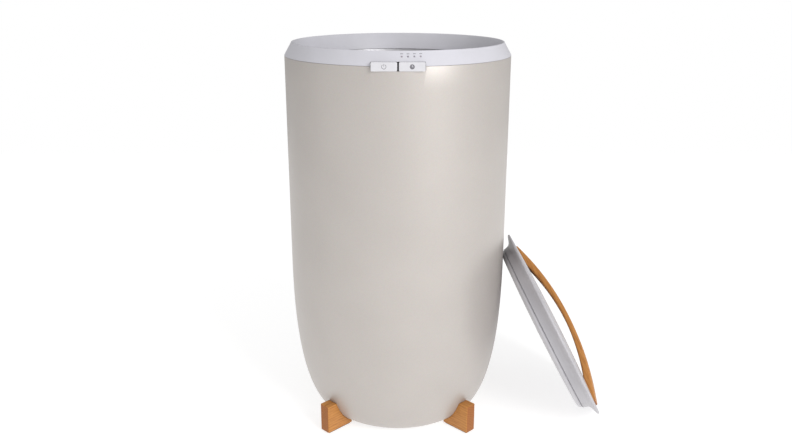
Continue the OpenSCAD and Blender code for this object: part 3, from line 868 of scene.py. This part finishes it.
foot = {
    "inner": 100,
    "width": 16,
    "low": 1.2,             # the pad's thickness
    "high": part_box("foot_front_right")[1].z / mm,
    "outer": 143.8,
    "fit": 0.15,
    "edge": 0.9,
    "angles": {"front_left": 225, "front_right": 315, "rear_left": 135, "rear_right": 45},
    "padHalf": 19.4,
    "padRing": 122.4,
}


def plankGrain(piece, place, seed):
    toPlank = place.inverted()
    shift = Vector((0.07 * seed, 0.011 * seed, 0.004 * seed))
    grain = piece.data.attributes.new("grain", "FLOAT_VECTOR", "POINT")
    for i, v in enumerate(piece.data.vertices):
        grain.data[i].vector = toPlank @ v.co + shift
    ends = piece.data.attributes.new("endGrain", "FLOAT", "FACE")
    for i, face in enumerate(piece.data.polygons):
        ends.data[i].value = 1.0 if abs((toPlank.to_3x3() @ face.normal).x) > 0.8 else 0.0


def seatHeight(s, along, across):
    return wallHeight(math.hypot(along, across) + s["fit"])


# How far out the body's wall reaches the height of the foot's flat top, by halving.
def seatCrease(s, across):
    low, high = s["inner"], s["outer"]
    for _ in range(40):
        middle = (low + high) / 2
        if seatHeight(s, middle, across) > s["high"]:
            high = middle
        else:
            low = middle
    return low


# A block that stands under the body's curve: its top follows the wall, then runs flat to the outer end.
def woodenFoot(side, angle, s, seed):
    columns = [k / 8 * s["width"] - s["width"] / 2 for k in range(9)]
    rows = []
    for across in columns:
        crease = seatCrease(s, across)
        curved = [s["inner"] + (crease - s["inner"]) * k / 14 for k in range(15)]
        flat = [crease + (s["outer"] - crease) * k / 3 for k in (1, 2, 3)]
        seat = [(x, across, min(seatHeight(s, x, across) - s["fit"], s["high"])) for x in curved]
        rows.append(seat + [(x, across, s["high"]) for x in flat])
    count = len(rows[0])
    points = [Vector(p) * mm for row in rows for p in row]
    points += [Vector((x, y, s["low"])) * mm for row in rows for x, y, _ in row]
    under = count * len(rows)
    faces = []
    for j in range(len(rows) - 1):
        for i in range(count - 1):
            a = j * count + i
            faces.append([a, a + 1, a + count + 1, a + count])
            faces.append([under + a + count, under + a + count + 1, under + a + 1, under + a])
    sides = [(j * count + i, 1) for j in (0, len(rows) - 1) for i in range(count - 1)]
    sides += [(j * count + i, count) for i in (0, count - 1) for j in range(len(rows) - 1)]
    faces += [[a, a + step, under + a + step, under + a] for a, step in sides]
    piece = tidyMesh(newPiece("foot_" + side + "_block", points, faces))
    roundEdges(piece, s["edge"], 45, 3)
    place = Matrix.Rotation(math.radians(angle), 4, "Z")
    piece.data.transform(place)
    tidyMesh(piece)
    plankGrain(piece, place, seed)
    return dress(piece, "bucket", "oak", "foot_" + side)


def footPads(s):
    half = s["width"] / 2 - 1
    piece = flatBox("foot_pad_set", (-s["padHalf"], -half, 0), (s["padHalf"], half, s["low"]))
    fourRound(roundEdges(piece, 0.45, 40, 3), s["padRing"], "pad_rubber")
    return dress(tidyMesh(piece), "bucket", "pad_rubber", "foot_pads")


for seed, (side, angle) in enumerate(foot["angles"].items()):
    woodenFoot(side, angle, foot, seed + 1)
footPads(foot)
print("feet and pads made")

cover = {
    "radius": 84,
    "low": shell["base"],
    "thick": 2.4,
    "slots": 9,
    "slotPitch": 8,
    "slotSize": (3, 50),
    "screwRing": 80,
    "screwSeat": 3.2,
    "screwHole": 1.7,
    "postLevel": 24,
    "postPlaces": [(-41, -31), (41, -31), (-41, 31), (41, 31)],
}
baseScrew = {
    "head": 2.9,
    "headLow": 5.2,
    "headHigh": 6.3,
    "shank": 1.35,
    "length": 7,
}
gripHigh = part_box("grip_ring")[1]
grip = {
    "outer": gripHigh.x / mm,
    "top": gripHigh.z / mm,
    "width": 6,
}


def screwHead(name, s):
    high, low = s["headHigh"], s["headLow"]
    crown = [(0, low + 0.05), (s["head"] * 0.55, low + 0.1), (s["head"] * 0.9, low + 0.4),
             (s["head"], low + 0.8), (s["head"], high), (s["shank"], high),
             (s["shank"], high + s["length"]), (0, high + s["length"] + 1)]
    piece = lathe(name, crown, 32)
    arm = s["head"] * 0.62
    for i, (x, y) in enumerate(((arm, 0.35), (0.35, arm))):
        cutWith(piece, flatBox("crossSlot%d" % i, (-x, -y, low - 1), (x, y, low + 0.65)))
    return piece


def baseCover(s):
    low, high = s["low"], s["low"] + s["thick"]
    disc = filleted([(0, low, 0), (s["radius"], low, 0.6), (s["radius"], high, 0.4), (0, high, 0)])
    piece = lathe("base_cover_disc", disc, 128)
    wide, tall = s["slotSize"]
    slot = flatBox("slots", (-wide / 2, -tall / 2, low - 1), (wide / 2, tall / 2, high + 1))
    roundEdges(slot, 1.2, 40, 3)
    runTree(slot, straightRow, {
        "Count": s["slots"], "Pitch": s["slotPitch"] * mm, "Material": finishes["cover_plastic"]})
    cutWith(piece, slot)
    seat, hole = s["screwSeat"], s["screwHole"]
    seats = lathe("screwSeats", [(0, low - 1), (seat, low - 1), (seat, low + 1.2), (hole, low + 1.2),
                                 (hole, high + 1), (0, high + 1)], 32)
    cutWith(piece, fourRound(seats, s["screwRing"], "cover_plastic"))
    dress(tidyMesh(piece), "bucket", "cover_plastic", "base_cover")
    post = filleted([(1.3, high - 0.3, 0), (3.8, high - 0.3, 0), (3.5, s["postLevel"], 0.3),
                     (1.3, s["postLevel"], 0.2)])
    for i, (x, y) in enumerate(s["postPlaces"]):
        place = Matrix.Translation((x * mm, y * mm, 0))
        dress(lathe("board_post_%d" % (i + 1), post, 32, place), "bucket", "cover_plastic")


def baseScrews(s):
    piece = fourRound(screwHead("base_screw_set", s), cover["screwRing"], "screw_steel")
    return dress(tidyMesh(piece), "bucket", "screw_steel", "base_screws")


def gripRing(s):
    outer, inner, top = s["outer"], s["outer"] - s["width"], s["top"]
    ring = filleted([(inner, 0.9, 0.3), (inner + 1, 0, 0.4), (outer - 1, 0, 0.4), (outer, 0.9, 0.3),
                     (outer, top, 0), (inner, top, 0)])
    return dress(lathe("grip_ring_seal", ring, 128), "bucket", "pad_rubber", "grip_ring")


def cordGland(s):
    bore, flange, thread, throat = s["cordRadius"], s["flange"], s["thread"], s["throat"]
    turned = filleted([(bore, throat, 0.3), (thread, throat, 0.4), (thread, 0.05, 0), (flange, 0.05, 0.3),
                       (flange, 2.85, 0.8), (7.2, 2.85, 0.5), (6.8, 5.05, 0.7), (bore, 5.05, 0.8)])
    return dress(lathe("cord_gland_body", turned, 64, glandPlace), "bucket", "gland_plastic",
                 "cord_gland")


baseCover(cover)
baseScrews(baseScrew)
gripRing(grip)
cordGland(gland)
print("bottom cover, screws, grip ring and gland made")


# lid, in its own frame: Z out of its top, X down its slope, origin level with the rim's lower edge

lidAxis = Vector([j for j in frame["joints"] if j["name"] == "lid_lift"][0]["axis"]).normalized()
sealLow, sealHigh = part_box("lid_seal")
lid = {
    "radius": 142.5,
    "crown": 4.1,
    "edge": 2.5,
    "sealMiddle": -14.65,
    "plug": 126,
    "plugInside": 123.4,
    "sealLevel": -14.2,
    "sealRadius": 126.3,
    "depth": 21.5,
    "panRadius": 124.5,
    "skin": 2.6,
}
lidCentre = (sealLow + sealHigh) / 2 - lidAxis * lid["sealMiddle"] * mm
lidPlace = (Matrix.Translation(lidCentre)
            @ Matrix.Rotation(math.atan2(lidAxis.y, lidAxis.x), 4, "Z")
            @ Matrix.Rotation(math.acos(lidAxis.z), 4, "Y"))
handle = {
    "reach": 133,
    "width": 24,
    "rise": 26,
    "thick": 7.6,
    "outerArc": 435,
    "innerArc": 345,
    "turn": -50,            # degrees about the lid's axis
    "seat": 2.7,
    "seatStart": 97,
    "fit": 0.15,
    "corner": 2.6,
}
handlePlace = lidPlace @ Matrix.Rotation(math.radians(handle["turn"]), 4, "Z")


def domeHeight(r):
    return lid["edge"] + lid["crown"] * (1 - (r / (lid["radius"] - 1.5)) ** 2)


def lidTop(s):
    dome = [(r, domeHeight(r)) for r in (141 * k / 20 for k in range(21))]
    rimEdge = [(s["radius"] - 0.2, 2.0), (s["radius"], 1.35), (s["radius"], 0.2),
               (s["radius"] - 0.5, -0.4), (139.6, -1.5), (136.6, -2.7), (133.6, -3.6), (131.2, -4.6),
               (129.4, -5.8), (128.2, -7.2), (127.4, -8.9)]
    plugWall = [(s["plug"], s["sealLevel"]), (s["plugInside"], s["sealLevel"]), (s["plugInside"], -3)]
    inside = [(r, domeHeight(r) - s["skin"]) for r in (118 * k / 10 for k in range(10, -1, -1))]
    piece = lathe("lid_top_dome", dome + rimEdge + plugWall + inside, 192, lidPlace)
    half = handle["width"] / 2 + handle["fit"]
    low = handle["seat"] - handle["fit"]
    for sign in (-1, 1):
        near, far = sorted((sign * (handle["reach"] + handle["fit"]), sign * handle["seatStart"]))
        cutter = flatBox("handlePocket", (near, -half, low), (far, half, 13))
        cutter.data.transform(handlePlace)
        cutWith(piece, cutter)
    return dress(tidyMesh(piece), "lid", "lid_plastic", "lid_top")


def lidPan(s):
    def dished(r):
        return bottom - 3 * (1 - (r / 120) ** 2)
    bottom, shoulder, tongue = -s["depth"] + 0.4, s["sealLevel"] - 0.9, s["sealLevel"] + 4
    bowl = [(r, dished(r)) for r in (117.5 * k / 12 for k in range(13))]
    side = filleted([(117.5, bottom, 0), (121.8, bottom + 0.6, 1.5), (s["panRadius"], bottom + 3.6, 1.5),
                     (s["panRadius"], shoulder, 0.4), (123.1, shoulder, 0.2), (123.1, tongue, 0.3),
                     (121.6, tongue, 0.3), (121.6, bottom + 3.4, 0.8), (118.6, bottom + 1.6, 0)])[1:]
    inside = [(r, dished(r) + 1.5) for r in (112 * k / 12 for k in range(12, -1, -1))]
    piece = lathe("lid_pan_bowl", bowl + side + inside, 192, lidPlace)
    return dress(piece, "lid", "pan_plastic", "lid_pan")


def lidSeal(s):
    level, edge = s["sealMiddle"], s["sealRadius"]
    lip = filleted([(123.45, level - 0.35, 0.1), (125.6, level - 0.38, 0.2), (edge, level - 0.1, 0.25),
                    (edge, level + 0.1, 0.25), (125.6, level + 0.38, 0.2), (123.45, level + 0.35, 0.1)])
    return dress(lathe("lid_seal_ring", lip, 192, lidPlace), "lid", "silicone", "lid_seal")


# Round-edged strip between two arcs, with flat seats at its ends.
def lidHandle(s):
    def section(x):
        top = s["rise"] - s["outerArc"] + math.sqrt(s["outerArc"] ** 2 - x * x)
        arc = s["rise"] - s["thick"] - s["innerArc"] + math.sqrt(s["innerArc"] ** 2 - x * x)
        low = max(arc, s["seat"])
        half = s["width"] / 2
        soft = min(s["corner"], (top - low) * 0.45)
        crisp = soft if arc > s["seat"] + 0.6 else 0.25
        corners = [(-half, low, crisp), (half, low, crisp), (half, top, soft), (-half, top, soft)]
        return [Vector((x, y, z)) for y, z in filleted(corners, 4)]
    nearEnd = [s["reach"], s["reach"] - 0.3, s["reach"] - 1, 128, 118, 108, 105, 103.5, 102.8, 102, 100]
    spread = nearEnd + [4 * k for k in range(25)]
    stations = sorted({round(sign * x, 3) for sign in (-1, 1) for x in spread})
    rings = []
    for x in stations:
        ring = section(x)
        inset = 0.35 if x in (stations[0], stations[-1]) else 0
        middle = sum(ring, Vector()) / len(ring)
        rings.append([])
        for p in ring:
            offset = p - middle
            pull = Vector((0, math.copysign(inset, offset.y), math.copysign(inset * 0.5, offset.z)))
            rings[-1].append(middle + offset - pull)
    piece = skinned("lid_handle_bow", rings)
    piece.data.transform(handlePlace)
    plankGrain(tidyMesh(piece), handlePlace, 7)
    return dress(piece, "lid", "oak", "lid_handle")


lidTop(lid)
lidPan(lid)
lidSeal(lid)
lidHandle(handle)
print("lid and handle made")


# finishes on the inner parts that keep their own meshes

def dressInnerParts():
    for part in frame["record"]["subparts"]:
        node = frame["nodes"][part["node"]]
        if node.hide_render:
            continue
        node.data.materials.clear()
        own = "mains_pvc" if part["node"] == "mains_wires" else part["material_slot"]
        node.data.materials.append(finishes[own])


dressInnerParts()
print("inner parts finished")


# studio

studio = {
    "floorSize": 3.4,
    "floorDrop": 0.3,       # mm under the pads
    "floorGlow": 0.68,
    "front": 0.86,          # brightness of the white tent in front and behind
    "back": 0.45,
    "aim": 0.28,            # height that the panels face
}
panels = {      # degrees to the right of the camera, degrees up, distance, size, watts
    "keyPanel": (36, 24, 2.4, 0.9, 26),
    "fillPanel": (-60, 20, 2.4, 1.6, 1),
}


def areaLight(name, turn, rise, distance, size, power):
    data = bpy.data.lights.new(name, "AREA")
    data.size = size
    data.energy = power
    lamp = bpy.data.objects.new(name, data)
    a, e = math.radians(turn), math.radians(rise)
    away = Vector((math.sin(a) * math.cos(e), -math.cos(a) * math.cos(e), math.sin(e)))
    lamp.location = Vector((0, 0, studio["aim"])) + away * distance
    lamp.rotation_mode = "QUATERNION"
    lamp.rotation_quaternion = (-away).to_track_quat("-Z", "Y")
    bpy.context.collection.objects.link(lamp)


def addFloor(s):
    half, level = s["floorSize"] / 2, -s["floorDrop"] * mm
    corners = [(-half, -half, level), (half, -half, level), (half, half, level), (-half, half, level)]
    floor = newPiece("studio_floor", corners, [(0, 1, 2, 3)])
    paper, tree, place = startFinish("whiteBackdropPaper", {
        "Roughness": 0.9, "Specular IOR Level": 0.1, "Emission Color": (1, 1, 1, 1),
        "Emission Strength": s["floorGlow"]})
    fibre = add(tree, "TexNoise", {"Vector": place, "Scale": perMetre(8)})
    tone = add(tree, "ValToRGB", {"Fac": fibre}, [(0.3, "#bababa"), (0.7, "#bdbdbd")])
    floor.data.materials.append(endFinish(paper, tone))


def addTent(s):
    world = bpy.data.worlds.new("whiteStudio")
    world.use_nodes = True
    sky = world.node_tree
    sky.nodes.clear()
    seen = add(sky, "LightPath").outputs["Is Camera Ray"]
    way = add(sky, "SeparateXYZ", {"Vector": add(sky, "TexCoord").outputs["Generated"]})
    tent = add(sky, "MapRange", {"Value": way.outputs["Y"], "From Min": -1.0, "To Min": s["front"],
                                 "To Max": s["back"]})
    strength = add(sky, "MapRange", {"Value": seen, "To Min": tent, "To Max": 1.0})
    light = add(sky, "Background", {"Color": (1, 1, 1, 1), "Strength": strength})
    add(sky, "OutputWorld", {"Surface": light})
    bpy.context.scene.world = world


addFloor(studio)
addTent(studio)
for name, setting in panels.items():
    areaLight(name, *setting)
bpy.context.scene.view_settings.view_transform = "Standard"
print("studio lit")
